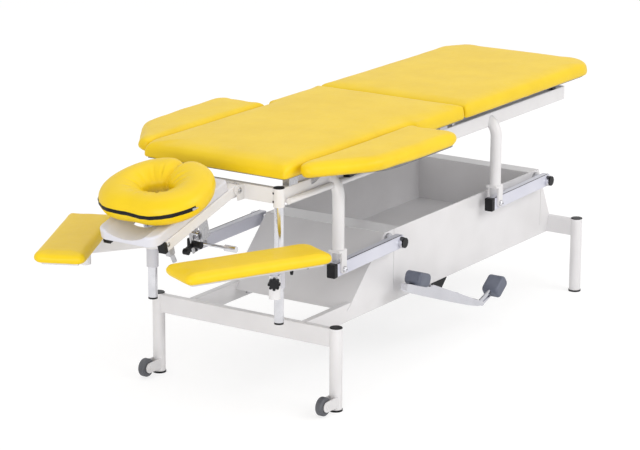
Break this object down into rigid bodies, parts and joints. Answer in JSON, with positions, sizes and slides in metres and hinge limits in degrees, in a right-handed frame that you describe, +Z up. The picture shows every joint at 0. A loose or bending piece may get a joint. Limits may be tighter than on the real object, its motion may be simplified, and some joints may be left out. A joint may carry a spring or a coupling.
{
  "type": "hydraulic therapy table",
  "caption": "Foot-pumped hydraulic massage and therapy table with a folding leg section, horseshoe headrest, side wings and lower arm supports.",
  "frame": {"origin": "bottom centre of the whole table, on the floor", "axes": "+X along the table to the leg end, +Y to the far side away from the pump lever, +Z up"},
  "size_m": [2.0778, 0.8088, 0.6914],
  "materials": {
    "white_paint": "gloss",
    "grey_plastic": "satin",
    "black_plastic": "matte",
    "brushed": "brushed",
    "chrome": "polished",
    "zinc": "satin",
    "vinyl": "satin",
    "board": "matte",
    "pedal_rubber": "matte",
    "tyre": "matte"
  },
  "bodies": {
    "base": {"base_legs": "white_paint", "leg_caps": "black_plastic", "leg_feet": "black_plastic", "base_cross_front": "white_paint", "base_cross_rear": "white_paint", "base_rails": "white_paint", "wheel_forks": "white_paint", "housing_front": "white_paint", "housing_rear": "white_paint", "housing_sides": "white_paint", "tray": "white_paint", "shaft_bearings": "zinc", "hydraulic_unit": "black_plastic"},
    "wheel_near": {"wheel_near": "tyre"},
    "wheel_far": {"wheel_far": "tyre"},
    "front_arms": {"front_arms": "brushed", "front_shaft": "chrome", "front_arm_caps": "black_plastic"},
    "rear_arms": {"rear_arms": "brushed", "rear_shaft": "chrome", "rear_arm_caps": "black_plastic"},
    "upper_frame": {"front_hangers": "white_paint", "rear_hangers": "white_paint", "hanger_pins": "zinc", "top_rails": "white_paint", "top_cross_tubes": "white_paint", "corner_sockets": "white_paint", "arm_posts": "chrome", "side_rods": "white_paint", "black_fittings": "black_plastic", "main_board": "board", "main_pad": "vinyl", "pad_supports": "zinc", "wing_hinges": "zinc", "head_lugs": "zinc"},
    "leg_section": {"leg_board": "board", "leg_pad": "vinyl", "leg_frame": "white_paint"},
    "wing_near": {"wing_board_near": "board", "wing_pad_near": "vinyl"},
    "wing_far": {"wing_board_far": "board", "wing_pad_far": "vinyl"},
    "headrest": {"head_bars": "chrome", "head_board": "white_paint", "head_cushion": "vinyl", "head_fittings": "zinc", "head_knobs": "black_plastic"},
    "head_lever": {"head_lever": "chrome"},
    "sleeve_near": {"sleeve_near": "white_paint"},
    "swing_near": {"swing_arm_near": "white_paint"},
    "knob_near": {"star_knob_near": "black_plastic"},
    "arm_rest_near": {"arm_pad_board_near": "white_paint", "arm_pad_near": "vinyl"},
    "sleeve_far": {"sleeve_far": "white_paint"},
    "swing_far": {"swing_arm_far": "white_paint"},
    "knob_far": {"star_knob_far": "black_plastic"},
    "arm_rest_far": {"arm_pad_board_far": "white_paint", "arm_pad_far": "vinyl"},
    "pump_lever": {"pump_lever": "chrome", "pump_pedals": "pedal_rubber"}
  },
  "joints": [
    {"name": "lift", "type": "hinge", "parent": "base", "child": "front_arms", "pos_m": [-0.047, 0, 0.355], "axis": [0, 1, 0], "range_deg": [-34, 48]},
    {"name": "rear_arm_pivot", "type": "hinge", "parent": "base", "child": "rear_arms", "pos_m": [0.775, 0, 0.355], "axis": [0, 1, 0], "range_deg": [-34, 48]},
    {"name": "hanger_pivot", "type": "hinge", "parent": "front_arms", "child": "upper_frame", "pos_m": [-0.33696, 0, 0.34994], "axis": [0, 1, 0], "range_deg": [-48, 34]},
    {"name": "leg_section_hinge", "type": "hinge", "parent": "upper_frame", "child": "leg_section", "pos_m": [0.273, 0, 0.664], "axis": [0, -1, 0], "range_deg": [0, 38]},
    {"name": "headrest_tilt", "type": "hinge", "parent": "upper_frame", "child": "headrest", "pos_m": [-0.613, 0, 0.6], "axis": [0, 1, 0], "range_deg": [-30, 30]},
    {"name": "headrest_release", "type": "hinge", "parent": "headrest", "child": "head_lever", "pos_m": [-0.74269, 0, 0.51007], "axis": [0, 1, 0], "range_deg": [0, 20], "stiffness_Nm_per_rad": 0.6, "springref_deg": -20.05},
    {"name": "pump_pedal", "type": "hinge", "parent": "base", "child": "pump_lever", "pos_m": [0.215, 0, 0.141], "axis": [0, -1, 0], "range_deg": [0, 24], "stiffness_Nm_per_rad": 12, "springref_deg": -14.32},
    {"name": "wheel_spin_near", "type": "hinge", "parent": "base", "child": "wheel_near", "pos_m": [-0.501, -0.285, 0.028], "axis": [0, 1, 0], "continuous": true},
    {"name": "wing_fold_near", "type": "hinge", "parent": "upper_frame", "child": "wing_near", "pos_m": [-0.25, -0.237, 0.6275], "axis": [1, 0, 0], "range_deg": [0, 60]},
    {"name": "arm_height_near", "type": "slide", "parent": "upper_frame", "child": "sleeve_near", "axis": [0, 0, 1], "range_m": [-0.07, 0.06]},
    {"name": "arm_swing_near", "type": "hinge", "parent": "sleeve_near", "child": "swing_near", "pos_m": [-0.578, -0.2, 0.41], "axis": [0, 0, 1], "range_deg": [-4, 50]},
    {"name": "arm_rest_turn_near", "type": "hinge", "parent": "swing_near", "child": "arm_rest_near", "pos_m": [-0.73486, -0.29425, 0.4033], "axis": [0, 0, 1], "range_deg": [-8, 60]},
    {"name": "clamp_knob_near", "type": "hinge", "parent": "swing_near", "child": "knob_near", "pos_m": [-0.73486, -0.29425, 0.4213], "axis": [-0.8572, -0.515, 0], "range_deg": [0, 180]},
    {"name": "wheel_spin_far", "type": "hinge", "parent": "base", "child": "wheel_far", "pos_m": [-0.501, 0.285, 0.028], "axis": [0, 1, 0], "continuous": true},
    {"name": "wing_fold_far", "type": "hinge", "parent": "upper_frame", "child": "wing_far", "pos_m": [-0.25, 0.237, 0.6275], "axis": [-1, 0, 0], "range_deg": [0, 60]},
    {"name": "arm_height_far", "type": "slide", "parent": "upper_frame", "child": "sleeve_far", "axis": [0, 0, 1], "range_m": [-0.07, 0.06]},
    {"name": "arm_swing_far", "type": "hinge", "parent": "sleeve_far", "child": "swing_far", "pos_m": [-0.578, 0.2, 0.41], "axis": [0, 0, -1], "range_deg": [-4, 50]},
    {"name": "arm_rest_turn_far", "type": "hinge", "parent": "swing_far", "child": "arm_rest_far", "pos_m": [-0.72971, 0.30233, 0.3943], "axis": [0, 0, -1], "range_deg": [-8, 60]},
    {"name": "clamp_knob_far", "type": "hinge", "parent": "swing_far", "child": "knob_far", "pos_m": [-0.72971, 0.30233, 0.4123], "axis": [-0.829, 0.5592, 0], "range_deg": [0, 180]}
  ],
  "couplings": [
    {"joint": "rear_arm_pivot", "follows": "lift", "ratio": 1},
    {"joint": "hanger_pivot", "follows": "lift", "ratio": -1}
  ]
}
